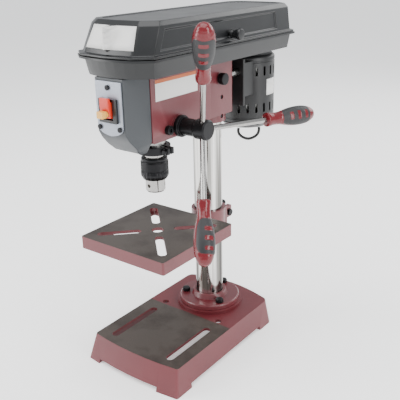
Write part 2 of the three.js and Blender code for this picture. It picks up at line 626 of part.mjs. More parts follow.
function addReturnSpring() {
  const { y, z } = PINION;
  const inner = -HEAD.half - 2.8;
  const cap = cut(
    bar('x', 26, inner - 17, inner - GAP, y, z, 28),
    bar('x', 23.5, inner - 14.5, inner + 1, y, z, 28),
    bar('x', 5, inner - 30, inner + 1, y, z, 14),
  );
  addPart('spring_cap', cap, darkSteel);

  const [turns, perTurn, thick] = [3, 12, 0.8];
  const spiral = new THREE.Shape();
  const outerEdge = [];
  for (let i = 0; i <= turns * perTurn; i += 1) {
    const radius = 6 + (15.5 * i) / (turns * perTurn);
    const [u, v] = polar(radius, (i * 360) / perTurn);
    if (i === 0) spiral.moveTo(u, v);
    else spiral.lineTo(u, v);
    outerEdge.push(polar(radius + thick, (i * 360) / perTurn));
  }
  outerEdge.reverse().forEach(([u, v]) => spiral.lineTo(u, v));
  const strip = new THREE.ExtrudeGeometry(spiral, { depth: 9, bevelEnabled: false });
  const toSide = new THREE.Matrix4().set(0, 0, 1, inner - 12, 1, 0, 0, y, 0, 1, 0, z, 0, 0, 0, 1);
  addPart('return_spring', solid(strip.applyMatrix4(toSide)), darkSteel);
}

// ---- Front cover and switch ------------------------------------------------------------------

function coverBody(inset) {
  const front = PLATE.y + PLATE.thick / 2 + inset;
  const rear = inset ? HEAD.front + 5 : HEAD.front - GAP;
  const side = sideProfile(
    [[front, HEAD.top - GAP - inset], [front, 388 + inset], [front + 6, 378 + inset],
      [-184, 357 + inset], [-174, 352.5 + inset], [rear, 352.5 + inset],
      [rear, HEAD.top - GAP - inset]],
    -40, 40,
  );
  const plan = new THREE.Shape();
  plan.moveTo(-PLATE.half - 1.5 + inset, PLATE.y - 5);
  plan.lineTo(PLATE.half + 1.5 - inset, PLATE.y - 5);
  plan.lineTo(HEAD.half - inset, HEAD.front + 10);
  plan.lineTo(-HEAD.half + inset, HEAD.front + 10);
  const noseTaper = new THREE.Shape();
  const [low, wide] = [15 - inset, HEAD.half + 2 - inset];
  noseTaper.moveTo(-low, 345);
  noseTaper.lineTo(low, 345);
  noseTaper.lineTo(wide, 376);
  noseTaper.lineTo(wide, 470);
  noseTaper.lineTo(-wide, 470);
  noseTaper.lineTo(-wide, 376);
  const frontView = new THREE.ExtrudeGeometry(noseTaper, { depth: 80, bevelEnabled: false });
  frontView.rotateX(Math.PI / 2).translate(0, -150, 0);
  return side.intersect(solid(raised(plan, 340, 480))).intersect(solid(frontView));
}

const plateScrewPlaces = [[0, 449], [-18, 395.5], [18, 395.5]];

function addFrontCover() {
  const pilots = plateScrewPlaces.map(([x, z]) => bar('y', 2.3, -216, -200, x, z, 8));
  const window = block(-SWITCH.half + 1.5, SWITCH.half - 1.5, -216, -200, SWITCH.bottom + 1.5,
    SWITCH.top - 1.5);
  addPart('front_cover', cut(coverBody(0), coverBody(2.8), window, ...pilots), grayPlastic);

  const outline = new THREE.Shape();
  outline.moveTo(-PLATE.half, PLATE.top);
  outline.lineTo(-PLATE.half, PLATE.bottom + 3);
  outline.quadraticCurveTo(-PLATE.half + 1, PLATE.bottom - 7, 0, PLATE.bottom - 9.5);
  outline.quadraticCurveTo(PLATE.half - 1, PLATE.bottom - 7, PLATE.half, PLATE.bottom + 3);
  outline.lineTo(PLATE.half, PLATE.top);
  const plate = new THREE.ExtrudeGeometry(outline, {
    depth: PLATE.thick, bevelEnabled: false, curveSegments: 6,
  });
  plate.rotateX(Math.PI / 2).translate(0, PLATE.y + PLATE.thick / 2 - GAP, 0);
  addPart('switch_plate', cut(solid(plate), window, ...pilots), silverPlate);

  const plateFront = PLATE.y - PLATE.thick / 2 - GAP;
  plateScrewPlaces.forEach(([x, z], i) => {
    const screw = join(
      bar('y', 3.6, plateFront - 2.4, plateFront - GAP, x, z, 14),
      bar('y', 1.9, plateFront - 1, plateFront + 8, x, z, 8),
    );
    addPart(`plate_screw_${i + 1}`, screw, darkSteel);
  });
  addSwitch(plateFront);
}

function addSwitch(plateFront) {
  const frame = join(
    block(-SWITCH.half, SWITCH.half, plateFront - 3.5, plateFront - GAP, SWITCH.bottom, SWITCH.top),
    block(-SWITCH.half + 2, SWITCH.half - 2, plateFront - 1, -188, SWITCH.bottom + 2, SWITCH.top - 2),
  );
  const well = block(-8.6, 8.6, plateFront - 5, -197, SWITCH.bottom + 4.2, SWITCH.top + 1);
  const pinHole = bar('x', 1.9, -13, 13, SWITCH.pivotY + 3, SWITCH.pivotZ, 10);
  addPart('switch_housing', cut(frame, well, pinHole), switchBlack);

  const paddleSide = [
    [-221.5, 437], [-221.5, 424], [-217.5, 410], [-211, 409.5], [-204, 414], [-204, 428],
    [-213, 430.5], [-216.2, 432], [-217, 436.5],
  ];
  const keyWell = block(-5.4, 5.4, -230, -208.5, 412.6, 419.4);
  const paddle = join(
    sideProfile(paddleSide, -7.6, 7.6),
    bar('x', 1.6, -12, 12, SWITCH.pivotY + 3, SWITCH.pivotZ, 10),
  );
  addPart('switch_paddle', cut(paddle, keyWell), switchRed);
  const key = join(
    block(-5, 5, -222, -209, 413, 419),
    block(-5.5, 5.5, -230, -222, 411.5, 420.5),
  );
  addPart('switch_key', key, switchYellow);
}

// ---- Pulley housing, lid and drive -----------------------------------------------------------

// The pan's and lid's outline: straight sides, cut corners, bowed ends.
function panOutline(inset) {
  const half = PAN.half - inset;
  const [front, rear] = [PAN.front + inset, PAN.rear - inset];
  const [cutX, cutY] = [20, 16];
  const shape = new THREE.Shape();
  shape.moveTo(-half, front + cutY);
  shape.lineTo(-half + cutX, front);
  shape.quadraticCurveTo(0, front - 16, half - cutX, front);
  shape.lineTo(half, front + cutY);
  shape.lineTo(half, rear - 14);
  shape.lineTo(half - cutX, rear);
  shape.quadraticCurveTo(0, rear + 14, -half + cutX, rear);
  shape.lineTo(-half, rear - 14);
  return shape;
}

// The walls lean in a few millimetres from the seam to the pan's floor or the lid's roof.
const wallDraft = (share) => [1 - 0.06 * share, 1 - 0.02 * share];

function addPan() {
  const shrink = (z) => wallDraft((PAN.seam - z) / (PAN.seam - PAN.bottom));
  const outer = drafted(panOutline(0), PAN.bottom, PAN.seam, shrink, 6);
  const inner = drafted(panOutline(PAN.wall), PAN.bottom + PAN.wall, PAN.seam + 1, shrink, 6);
  const lip = solid(raised(panOutline(-5), PAN.seam - 3, PAN.seam, 6));
  const spindleHole = bar('z', 16, PAN.bottom - 1, PAN.bottom + 10, 0, SPINDLE_Y, 28);
  const motorSlot = slot(0, MOTOR.y - 16, 0, MOTOR.y + 4, 30, PAN.bottom - 1, PAN.bottom + 10);
  const hinge = LID_HINGE;
  const pinBore = bar('y', hinge.radius + GAP, -120, 90, hinge.x, hinge.z, 12);
  const barrels = [[-114, -100], [70, 84]].map(([y0, y1]) => join(
    bar('y', 4, y0, y1, hinge.x, hinge.z, 14),
    block(hinge.x - 2, hinge.x + 3, y0, y1, PAN.seam - 3, PAN.seam),
  ));
  const barrelRooms = [[-99.6, -84.6], [54.6, 69.6]].map(([y0, y1]) =>
    block(hinge.x - 8, -PAN.half - 0.1, y0, y1, PAN.seam - 6, PAN.seam + 1));
  const tray = join(cut(join(outer, lip), ...barrelRooms), ...barrels);
  addPart('pulley_housing', cut(tray, inner, spindleHole, motorSlot, pinBore), blackPlastic);
}

const lidKnobPlace = { y: -22, z: 500 };

function addLid() {
  const bottom = PAN.seam + GAP;
  const shrink = (z) => wallDraft(Math.max(0, z - bottom) / (LID.top - bottom));
  const crown = (z) => shrink(z).map((factor) => factor - (0.035 * Math.max(0, z - LID.top + 6)) / 6);
  const walls = drafted(panOutline(0), bottom, LID.top - 6, shrink, 6);
  const roof = drafted(panOutline(0), LID.top - 6.01, LID.top, crown, 6);
  const frontSlope = sideProfile([[-240, 480], [-217, 487], [-189, 535], [-240, 535]], -90, 90);
  const slopedInside = sideProfile([[-240, 470], [-212, 487], [-185, 535], [-240, 535]], -90, 90);
  const hollow = cut(drafted(panOutline(LID.wall), bottom - 1, LID.top - LID.wall, shrink, 6), slopedInside);
  const lip = solid(raised(panOutline(-5), bottom, bottom + 3, 6));
  const outer = join(cut(join(walls, roof), frontSlope), lip);
  const hinge = LID_HINGE;
  const clearances = [[-114.4, -99.6], [69.6, 84.4]].map(([y0, y1]) =>
    block(hinge.x - 8, hinge.x + 6.2, y0, y1, bottom - 1, bottom + 6));
  const barrels = [[-99.2, -85], [55, 69.2]].map(([y0, y1]) => join(
    bar('y', 4, y0, y1, hinge.x, hinge.z, 14),
    block(hinge.x, hinge.x + 7, y0, y1, bottom, bottom + 3),
  ));
  const pinBore = bar('y', hinge.radius + GAP, -120, 90, hinge.x, hinge.z, 12);
  const knobHole = bar('x', 2.4, 50, 75, lidKnobPlace.y, lidKnobPlace.z, 10);
  addPart('pulley_lid', cut(join(outer, ...barrels), hollow, ...clearances, pinBore, knobHole),
    blackPlastic);
  addPart('lid_hinge_pin', bar('y', hinge.radius, -113, 83, hinge.x, hinge.z, 10), brightSteel);
  const wallX = PAN.half - 1.2;
  const knob = join(
    bar('x', 2.1, wallX - 7, wallX + 2, lidKnobPlace.y, lidKnobPlace.z, 8),
    turned([[0, 0], [6.5, 0], [5, 5], [6.5, 9], [8, 13], [7.4, 17.5], [0, 18]], 'x',
      lidKnobPlace.y, lidKnobPlace.z, wallX + 1, 20),
  );
  addPart('lid_knob', knob, blackPlastic);
}

// A stack of V grooves; radii run from the bottom step to the top one.
function pulleyProfile(radii) {
  const profile = [[0, 0]];
  radii.forEach((radius, i) => {
    const z = i * PULLEY.step;
    profile.push([radius, z], [radius - 6.5, z + 2.2], [radius - 6.5, z + 6.8]);
    profile.push([radius, z + PULLEY.step]);
  });
  profile.push([0, radii.length * PULLEY.step]);
  return profile;
}

function addDrive() {
  const up = [...PULLEY.radii];
  const down = [...PULLEY.radii].reverse();
  const spindlePulley = join(
    turned(pulleyProfile(down), 'z', 0, SPINDLE_Y, PULLEY.bottom, 18),
    bar('z', 12.6, QUILL.top + 3, PULLEY.bottom + 1, 0, SPINDLE_Y, 18),
  );
  const splineBore = bar('z', 5.4, 430, 530, 0, SPINDLE_Y, 14);
  addPart('spindle_pulley', cut(spindlePulley, splineBore), aluminium);
  const motorPulley = turned(pulleyProfile(up), 'z', 0, MOTOR.y, PULLEY.bottom, 18);
  addPart('motor_pulley', cut(motorPulley, bar('z', 6.3, 460, 530, 0, MOTOR.y, 14)), aluminium);

  const middle = PULLEY.radii[2];
  const beltZ = PULLEY.bottom + 2.5 * PULLEY.step;
  const loop = (radius) => {
    const shape = new THREE.Shape();
    shape.absarc(0, SPINDLE_Y, radius, Math.PI, Math.PI * 2, false);
    shape.absarc(0, MOTOR.y, radius, 0, Math.PI, false);
    return shape;
  };
  const outside = solid(raised(loop(middle - 0.4), beltZ - 2, beltZ + 2, 8));
  const inside = solid(raised(loop(middle - 5.2), beltZ - 4, beltZ + 4, 8));
  addPart('drive_belt', cut(outside, inside), rubber);
}

// ---- Motor -----------------------------------------------------------------------------------

function addMotor() {
  const { y, radius, top, bottom, bell } = MOTOR;
  const shell = cut(
    join(
      bar('z', radius, bottom, top - 4, 0, y, 36),
      bar('z', radius, top - 4.01, top, 0, y, 36, radius - 4),
    ),
    bar('z', radius - 2.5, bottom - 1, top - 7, 0, y, 32),
    bar('z', 9, top - 10, top + 1, 0, y, 16),
  );
  addPart('motor_shell', shell, motorBlack);
  const endBell = cut(
    turned([[0, bell], [22, bell], [37, bell + 4], [42, bell + 9], [radius, bottom - 2],
      [radius, bottom - GAP], [radius - 3, bottom - GAP], [radius - 3, bottom + 4], [0, bottom + 4]],
      'z', 0, y, 0, 36),
    bar('z', radius - 6, bottom - 6, bottom + 5, 0, y, 28),
    bar('z', 6.4, bell + 4, bottom, 0, y, 14),
  );
  addPart('motor_end_bell', endBell, motorBlack);
  const rotor = join(
    bar('z', 6, bell + 4.5, 512, 0, y, 14),
    bar('z', 26, 360, 432, 0, y, 24),
  );
  addPart('motor_rotor', rotor, brightSteel);
  addMotorMount();
  addMotorLead();
}

function addMotorMount() {
  const { y, radius } = MOTOR;
  const plateY = 52;
  const saddle = block(-34, 34, plateY, y - 20, 392, 446);
  const body = join(
    block(-34, 34, plateY, plateY + 6, 378, 452),
    cut(saddle, bar('z', radius + GAP, 370, 460, 0, y, 36)),
  );
  const rodHoles = [-1, 1].map((side) =>
    bar('y', ROD.radius + GAP, 40, 80, side * ROD.x, ROD.z, 12));
  addPart('motor_bracket', cut(body, ...rodHoles), motorBlack);
  [-1, 1].forEach((side, i) => {
    const rodEnd = Math.min(ROD.to, y - Math.sqrt(radius ** 2 - (ROD.x - ROD.radius) ** 2) - 3);
    addPart(`slide_rod_${i + 1}`, bar('y', ROD.radius, ROD.from, rodEnd, side * ROD.x, ROD.z, 12),
      brightSteel);
  });
  const { y: knobY, z: knobZ } = tensionScrewPlace;
  const knob = join(
    bar('x', 3.1, ROD.x + ROD.radius + 0.4, 33, knobY, knobZ, 8),
    bar('x', 9, 32, 41, knobY, knobZ, 18),
    bar('x', 5, 30.2, 33, knobY, knobZ, 14),
  );
  addPart('tension_knob', knob, darkSteel);
}

// The motor's lead hangs in a short loop under the end bell.
const leadRoute = [
  [9.5, 76, 333.5], [9.4, 74.5, 329], [12, 74.6, 323], [18, 77.6, 318], [25, 82, 316],
  [32, 86.6, 318.5], [37.2, 90.2, 323.5], [38.6, 92.5, 329], [37.6, 94.5, 335],
];

function addMotorLead() {
  const curve = new THREE.CatmullRomCurve3(leadRoute.map((point) => new THREE.Vector3(...point)));
  const section = new THREE.Shape();
  section.absarc(0, 0, 2.4, 0, Math.PI * 2, false);
  const geometry = new THREE.ExtrudeGeometry(section, {
    steps: 16, extrudePath: curve, bevelEnabled: false, curveSegments: 4,
  });
  addPart('motor_lead', solid(geometry), rubber);
}

// ---- Assembly --------------------------------------------------------------------------------

addBase();
addColumn();
addTable();
addTableBracket();
addHead();
addQuill();
addSpindle();
addChuck();
addFeedShaft();
addFeedHub();
addSpokesAndGrips();
addReturnSpring();
addFrontCover();
addPan();
addLid();
addDrive();
addMotor();

const bounds = new THREE.Box3().setFromObject(press);
const centre = bounds.getCenter(new THREE.Vector3());
press.position.set(-centre.x, -centre.y, -bounds.min.z);

const drillPress = new THREE.Group();
drillPress.add(press);

export default drillPress;
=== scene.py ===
# Bench drill press: materials, detailed pieces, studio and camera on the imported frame.
import math

import bmesh
import bpy
from mathutils import Matrix, Vector


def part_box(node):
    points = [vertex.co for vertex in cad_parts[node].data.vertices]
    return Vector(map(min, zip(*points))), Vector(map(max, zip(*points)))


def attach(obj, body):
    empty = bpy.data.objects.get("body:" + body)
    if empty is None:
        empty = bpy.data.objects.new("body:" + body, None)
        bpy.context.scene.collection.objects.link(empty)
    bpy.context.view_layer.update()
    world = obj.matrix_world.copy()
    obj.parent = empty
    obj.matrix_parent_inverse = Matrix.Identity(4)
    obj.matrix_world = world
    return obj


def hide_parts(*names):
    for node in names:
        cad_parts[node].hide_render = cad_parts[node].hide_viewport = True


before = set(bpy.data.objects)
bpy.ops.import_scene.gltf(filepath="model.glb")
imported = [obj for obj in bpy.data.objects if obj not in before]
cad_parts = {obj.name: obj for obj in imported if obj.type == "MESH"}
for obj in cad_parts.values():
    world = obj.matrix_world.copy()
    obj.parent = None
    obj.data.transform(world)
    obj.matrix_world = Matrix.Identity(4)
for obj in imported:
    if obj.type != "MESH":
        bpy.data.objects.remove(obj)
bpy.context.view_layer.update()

MM = 0.001

# ---- Places taken from the frame ---------------------------------------------------------

COLUMN_LOW, COLUMN_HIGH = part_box("column")
AXIS_X = (COLUMN_LOW.x + COLUMN_HIGH.x) / 2
AXIS_Y = (COLUMN_LOW.y + COLUMN_HIGH.y) / 2


def at(x, y, z):
    """A place given in millimetres from the column's axis and the floor."""
    return Vector((AXIS_X + x * MM, AXIS_Y + y * MM, z * MM))


def srgb(code):
    """A hex colour as linear RGBA."""
    values = [int(code[i : i + 2], 16) / 255 for i in (0, 2, 4)]
    linear = [v / 12.92 if v <= 0.04045 else ((v + 0.055) / 1.055) ** 2.4 for v in values]
    return (*linear, 1.0)


# ---- Camera ------------------------------------------------------------------------------

CAMERA_PLACE = (589.8, -790.6, 607.7)
CAMERA_AZIMUTH = 37.51
CAMERA_PITCH = 21.11
CAMERA_ROLL = -1.25
CAMERA_LENS = 57.6


def add_camera():
    camera = bpy.data.objects.new("camera", bpy.data.cameras.new("camera"))
    camera.data.lens = CAMERA_LENS
    camera.data.sensor_width = 36
    camera.data.clip_end = 100
    turn = (
        Matrix.Rotation(math.radians(CAMERA_AZIMUTH), 4, "Z")
        @ Matrix.Rotation(math.radians(90 - CAMERA_PITCH), 4, "X")
        @ Matrix.Rotation(math.radians(CAMERA_ROLL), 4, "Z")
    )
    camera.matrix_world = Matrix.Translation(at(*CAMERA_PLACE)) @ turn
    bpy.context.scene.collection.objects.link(camera)
    bpy.context.scene.camera = camera


# ---- Material helpers --------------------------------------------------------------------


class Nodes:
    """Short calls for building one material's node tree."""

    def __init__(self, name):
        self.material = bpy.data.materials.new(name)
        self.material.use_nodes = True
        self.tree = self.material.node_tree
        self.shader = self.tree.nodes["Principled BSDF"]
        self.place = self.add("ShaderNodeTexCoord").outputs["Object"]

    def add(self, kind, **settings):
        node = self.tree.nodes.new(kind)
        for key, value in settings.items():
            setattr(node, key, value)
        return node

    def link(self, source, target):
        self.tree.links.new(source, target)

    def scaled(self, x, y, z):
        """Object coordinates in metres, scaled along each axis."""
        mapping = self.add("ShaderNodeMapping")
        mapping.inputs["Scale"].default_value = (x, y, z)
        self.link(self.place, mapping.inputs["Vector"])
        return mapping.outputs["Vector"]

    def noise(self, scale, detail=4.0, roughness=0.55, vector=None):
        node = self.add("ShaderNodeTexNoise")
        node.inputs["Scale"].default_value = scale
        node.inputs["Detail"].default_value = detail
        node.inputs["Roughness"].default_value = roughness
        self.link(vector or self.place, node.inputs["Vector"])
        return node.outputs["Fac"]

    def ramp(self, factor, stops):
        node = self.add("ShaderNodeValToRGB")
        elements = node.color_ramp.elements
        for _ in stops[2:]:
            elements.new(0.5)
        for element, (position, color) in zip(elements, stops):
            element.position = position
            element.color = color if len(color) == 4 else (*color, 1.0)
        self.link(factor, node.inputs["Fac"])
        return node.outputs["Color"]

    def between(self, factor, low, high):
        """factor from 0 to 1 becomes low to high."""
        node = self.add("ShaderNodeMapRange")
        node.inputs["To Min"].default_value = low
        node.inputs["To Max"].default_value = high
        self.link(factor, node.inputs["Value"])
        return node.outputs["Result"]

    def mix(self, factor, first, second):
        node = self.add("ShaderNodeMix", data_type="RGBA")
        self.link(factor, node.inputs["Factor"])
        for value, socket in ((first, node.inputs["A"]), (second, node.inputs["B"])):
            if isinstance(value, tuple):
                socket.default_value = value
            else:
                self.link(value, socket)
        return node.outputs["Result"]

    def maths(self, operation, first, second=0.0, third=0.0):
        node = self.add("ShaderNodeMath", operation=operation)
        for value, socket in zip((first, second, third), node.inputs):
            if isinstance(value, (int, float)):
                socket.default_value = value
            else:
                self.link(value, socket)
        return node.outputs["Value"]

    def bump(self, height, strength, distance):
        node = self.add("ShaderNodeBump")
        node.inputs["Strength"].default_value = strength
        node.inputs["Distance"].default_value = distance
        self.link(height, node.inputs["Height"])
        self.link(node.outputs["Normal"], self.shader.inputs["Normal"])

    def edges(self):
        """1 on convex edges and 0 elsewhere, from the surface's own curvature."""
        pointiness = self.add("ShaderNodeNewGeometry").outputs["Pointiness"]
        return self.between_clamped(pointiness, 0.52, 0.6)

    def between_clamped(self, factor, start, end):
        node = self.add("ShaderNodeMapRange")
        node.inputs["From Min"].default_value = start
        node.inputs["From Max"].default_value = end
        self.link(factor, node.inputs["Value"])
        return node.outputs["Result"]

    def finish(self, color=None, roughness=None, **constants):
        for value, name in ((color, "Base Color"), (roughness, "Roughness")):
            if value is None:
                continue
            if isinstance(value, (tuple, float)):
                self.shader.inputs[name].default_value = value
            else:
                self.link(value, self.shader.inputs[name])
        for name, value in constants.items():
            self.shader.inputs[name.replace("_", " ")].default_value = value
        return self.material


def painted(name, dark, light, roughness=0.36):
    """Enamel on a casting: faint mottling, orange peel and a painted highlight of paler red on
    convex edges.
    """
    n = Nodes(name)
    color = n.mix(n.noise(18, 3), srgb(dark), srgb(light))
    # Convex edges are painted paler red: a painted highlight.
    color = n.mix(n.maths("MULTIPLY", n.edges(), 0.35), color, srgb(EDGE_HIGHLIGHT_RED))
    n.bump(n.noise(420, 3, 0.6), 0.22, 0.0006)
    shine = n.between(n.noise(60, 4), roughness - 0.06, roughness + 0.1)
    return n.finish(color, shine, Coat_Weight=0.25, Coat_Roughness=0.18)


def plastic(name, dark, light, roughness=0.4, grain=900, depth=0.15):
    """Moulded plastic with a fine spark-eroded grain."""
    n = Nodes(name)
    color = n.mix(n.noise(9, 3), srgb(dark), srgb(light))
    n.bump(n.noise(grain, 2, 0.5), depth, 0.0003)
    shine = n.between(n.noise(35, 4), roughness - 0.05, roughness + 0.08)
    return n.finish(color, shine)


def steel(name, dark, light, roughness=0.3, stretch=(300, 300, 12), metallic=1.0):
    """Machined steel with fine tool lines, stretched along one axis."""
    n = Nodes(name)
    lines = n.noise(6, 4, 0.6, n.scaled(*stretch))
    color = n.mix(lines, srgb(dark), srgb(light))
    n.bump(lines, 0.05, 0.0002)
    shine = n.between(n.noise(40, 3), roughness - 0.05, roughness + 0.08)
    return n.finish(color, shine, Metallic=metallic)


def chrome(name, bands=70):
    """Polished chrome with painted reflections: long bands along the piece, from bright to nearly
    black, in its colour.
    """
    n = Nodes(name)
    # Painted reflections: bright and nearly black bands in the chrome's base colour.
    painted_reflection_bands = n.noise(1.0, 3, 0.5, n.scaled(bands, bands, 1.2))
    stops = (
        (0.36, srgb("45423f")), (0.46, srgb("8f8d89")),
        (0.56, srgb("e6e4e0")), (0.7, srgb("b5b3af")),
    )
    color = n.ramp(painted_reflection_bands, stops)
    shine = n.between(n.noise(30, 4), 0.06, 0.14)
    n.bump(n.noise(5, 4, 0.6, n.scaled(40, 40, 900)), 0.02, 0.0001)
    return n.finish(color, shine, Metallic=1.0)


def plated(name):
    """Bright plating on a small turned piece: a clean mirror with faint tool marks."""
    n = Nodes(name)
    marks = n.noise(8, 3, 0.5, n.scaled(90, 90, 90))
    n.bump(marks, 0.02, 0.0001)
    color = n.mix(marks, srgb("8b8987"), srgb("b9b7b4"))
    return n.finish(color, n.between(marks, 0.08, 0.16), Metallic=1.0)


def bare_iron(n):
    """(colour, roughness) of ground cast iron with oil stains and cutter marks."""
    marks = n.noise(9, 5, 0.6, n.scaled(500, 40, 40))
    stains = n.noise(14, 5, 0.62)
    color = n.mix(marks, srgb("433d39"), srgb("6b625b"))
    color = n.mix(n.between_clamped(stains, 0.45, 0.75), color, srgb("39302c"))
    return color, n.between(marks, 0.34, 0.5)


def machined_top(name, dark, light, height, front_only=None):
    """Red enamel with bare ground iron on the flat top face at that height, in metres."""
    n = Nodes(name)
    iron, iron_shine = bare_iron(n)
    paint = n.mix(n.noise(18, 3), srgb(dark), srgb(light))
    # Convex edges are painted paler red here too: a painted highlight.
    paint = n.mix(n.maths("MULTIPLY", n.edges(), 0.35), paint, srgb(EDGE_HIGHLIGHT_RED))
    split = n.add("ShaderNodeSeparateXYZ")
    n.link(n.place, split.inputs["Vector"])
    normal = n.add("ShaderNodeSeparateXYZ")
    n.link(n.add("ShaderNodeNewGeometry").outputs["Normal"], normal.inputs["Vector"])
    up = n.between_clamped(normal.outputs["Z"], 0.86, 0.97)
    near = n.maths("COMPARE", split.outputs["Z"], height, 0.0012)
    bare = n.maths("MULTIPLY", up, near)
    if front_only is not None:
        wobble = n.maths("MULTIPLY_ADD", n.noise(30, 2), 0.004, -0.002)
        edge = n.maths("ADD", split.outputs["Y"], wobble)
        bare = n.maths("MULTIPLY", bare, n.maths("LESS_THAN", edge, front_only))
    color = n.mix(bare, paint, iron)
    paint_shine = n.between(n.noise(60, 4), 0.3, 0.46)
    shine = n.add("ShaderNodeMix", data_type="FLOAT")
    n.link(bare, shine.inputs["Factor"])
    n.link(paint_shine, shine.inputs["A"])
    n.link(iron_shine, shine.inputs["B"])
    n.link(n.maths("MULTIPLY", bare, 0.75), n.shader.inputs["Metallic"])
    n.bump(n.noise(420, 3, 0.6), 0.18, 0.0005)
    return n.finish(color, shine.outputs["Result"])


# The third colour is the paler red of the painted edge highlight.
RED_DARK, RED_LIGHT, EDGE_HIGHLIGHT_RED = "541a20", "66242a", "a8686c"

# ---- Mesh helpers ------------------------------------------------------------------------


def new_object(name, mesh, material):
    obj = bpy.data.objects.new(name, mesh)
    bpy.context.scene.collection.objects.link(obj)
    if material:
        mesh.materials.append(material)
    return obj


def from_bmesh(name, bm, material):
    bmesh.ops.recalc_face_normals(bm, faces=bm.faces)
    mesh = bpy.data.meshes.new(name)
    bm.to_mesh(mesh)
    bm.free()
    mesh.polygons.foreach_set("use_smooth", [True] * len(mesh.polygons))
    return new_object(name, mesh, material)


def soften(obj, width, segments=3, angle=32):
    """Rounds the sharp edges and evens out the shading."""
    bevel = obj.modifiers.new("edges", "BEVEL")
    bevel.width = width * MM
    bevel.segments = segments
    bevel.limit_method = "ANGLE"
    bevel.angle_limit = math.radians(angle)
    bevel.use_clamp_overlap = True
    normals = obj.modifiers.new("normals", "WEIGHTED_NORMAL")
    normals.keep_sharp = True


def soften_cad(node, width, segments=2, angle=32):
    """The same for a CAD node, whose faces are joined first."""
    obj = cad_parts[node]
    custom = obj.data.attributes.get("custom_normal")
    if custom:
        obj.data.attributes.remove(custom)
    obj.data.polygons.foreach_set("use_smooth", [True] * len(obj.data.polygons))
    weld = obj.modifiers.new("weld", "WELD")
    weld.merge_threshold = 0.00002
    soften(obj, width, segments, angle)


def rings_to_bmesh(rings, closed_start=True, tube=False):
    """A skin through rings of equal length; a tube's last ring joins its first."""
    bm = bmesh.new()
    rows = [[bm.verts.new(point) for point in ring] for ring in rings]
    pairs = list(zip(rows, rows[1:]))
    if tube:
        pairs.append((rows[-1], rows[0]))
    for low, high in pairs:
        count = len(low)
        for i in range(count):
            j = (i + 1) % count
            bm.faces.new((low[i], low[j], high[j], high[i]))
    if closed_start and not tube:
        bm.faces.new(list(reversed(rows[0])))
    if not tube:
        bm.faces.new(rows[-1])
    return bm


def turned(name, section, matrix, material, sides=64, radius_at=None):
    """A turned ring about the matrix's Z axis. Its closed section is (radius, height) in mm."""
    rings = []
    for radius, height in section:
        ring = []
        for i in range(sides):
            angle = 2 * math.pi * i / sides
            r = radius_at(radius, height, angle) if radius_at else radius
            ring.append(matrix @ Vector((r * math.cos(angle), r * math.sin(angle), height)))
        rings.append(ring)
    return from_bmesh(name, rings_to_bmesh(rings, tube=True), material)


def in_mm(place, direction=(0, 0, 1), twist=None):
    """A matrix from millimetres at a place, with Z along a direction, to the row frame."""
    turn = Vector(direction).to_track_quat("Z", "Y").to_matrix().to_4x4()
    if twist is not None:
        side = Vector(twist).normalized()
        up = Vector(direction).normalized()
        across = (side - up * side.dot(up)).normalized()
        turn = Matrix((across, up.cross(across), up)).transposed().to_4x4()
    return Matrix.Translation(place) @ turn @ Matrix.Scale(MM, 4)


# ---- Materials ---------------------------------------------------------------------------

red = painted("red_enamel", RED_DARK, RED_LIGHT)
black_plastic = plastic("black_plastic", "0b0c0d", "131517", 0.3, 700, 0.12)
gray_plastic = plastic("gray_plastic", "2d3033", "393d41", 0.4, 800, 0.14)
silver = steel("satin_silver", "8d929c", "a3a8b2", 0.38, (60, 60, 900), 0.55)
dark_steel = steel("black_oxide", "1a1a1b", "2c2c2e", 0.36, (300, 300, 300), 0.8)
bright_steel = steel("ground_steel", "8c8c8a", "b0b0ad", 0.26)
bright_chrome = chrome("chrome")
plating = plated("plating")
switch_black = plastic("switch_black", "111112", "19191b", 0.35, 900, 0.08)
switch_red = plastic("switch_red", "c8301e", "d63c28", 0.3, 900, 0.05)
switch_yellow = plastic("switch_yellow", "dba144", "e8b458", 0.34, 900, 0.05)
grip_red = plastic("grip_red", "5a0b13", "6c1019", 0.16, 300, 0.05)
grip_rubber = plastic("grip_rubber", "121214", "1d1d1f", 0.5, 1200, 0.35)
motor_black = plastic("motor_enamel", "0c0c0d", "151617", 0.38, 500, 0.16)
aluminium = steel("turned_aluminium", "9a9c9e", "c0c2c4", 0.3, (20, 20, 1200))
rubber = plastic("rubber", "141414", "1d1d1d", 0.7, 900, 0.25)
label_white = plastic("label_white", "d6d5d2", "e2e1de", 0.4, 300, 0.02)
label_orange = plastic("label_orange", "b3592c", "c2673a", 0.4, 300, 0.02)

GROUND_END = -60  # the base's ground face ends here, in mm from the column's axis

base_top_height = 42 * MM
table_top_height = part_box("table")[1].z
base_paint = machined_top(
    "base_enamel", RED_DARK, RED_LIGHT, base_top_height, AXIS_Y + GROUND_END * MM
)
table_paint = machined_top("table_enamel", RED_DARK, RED_LIGHT, table_top_height)

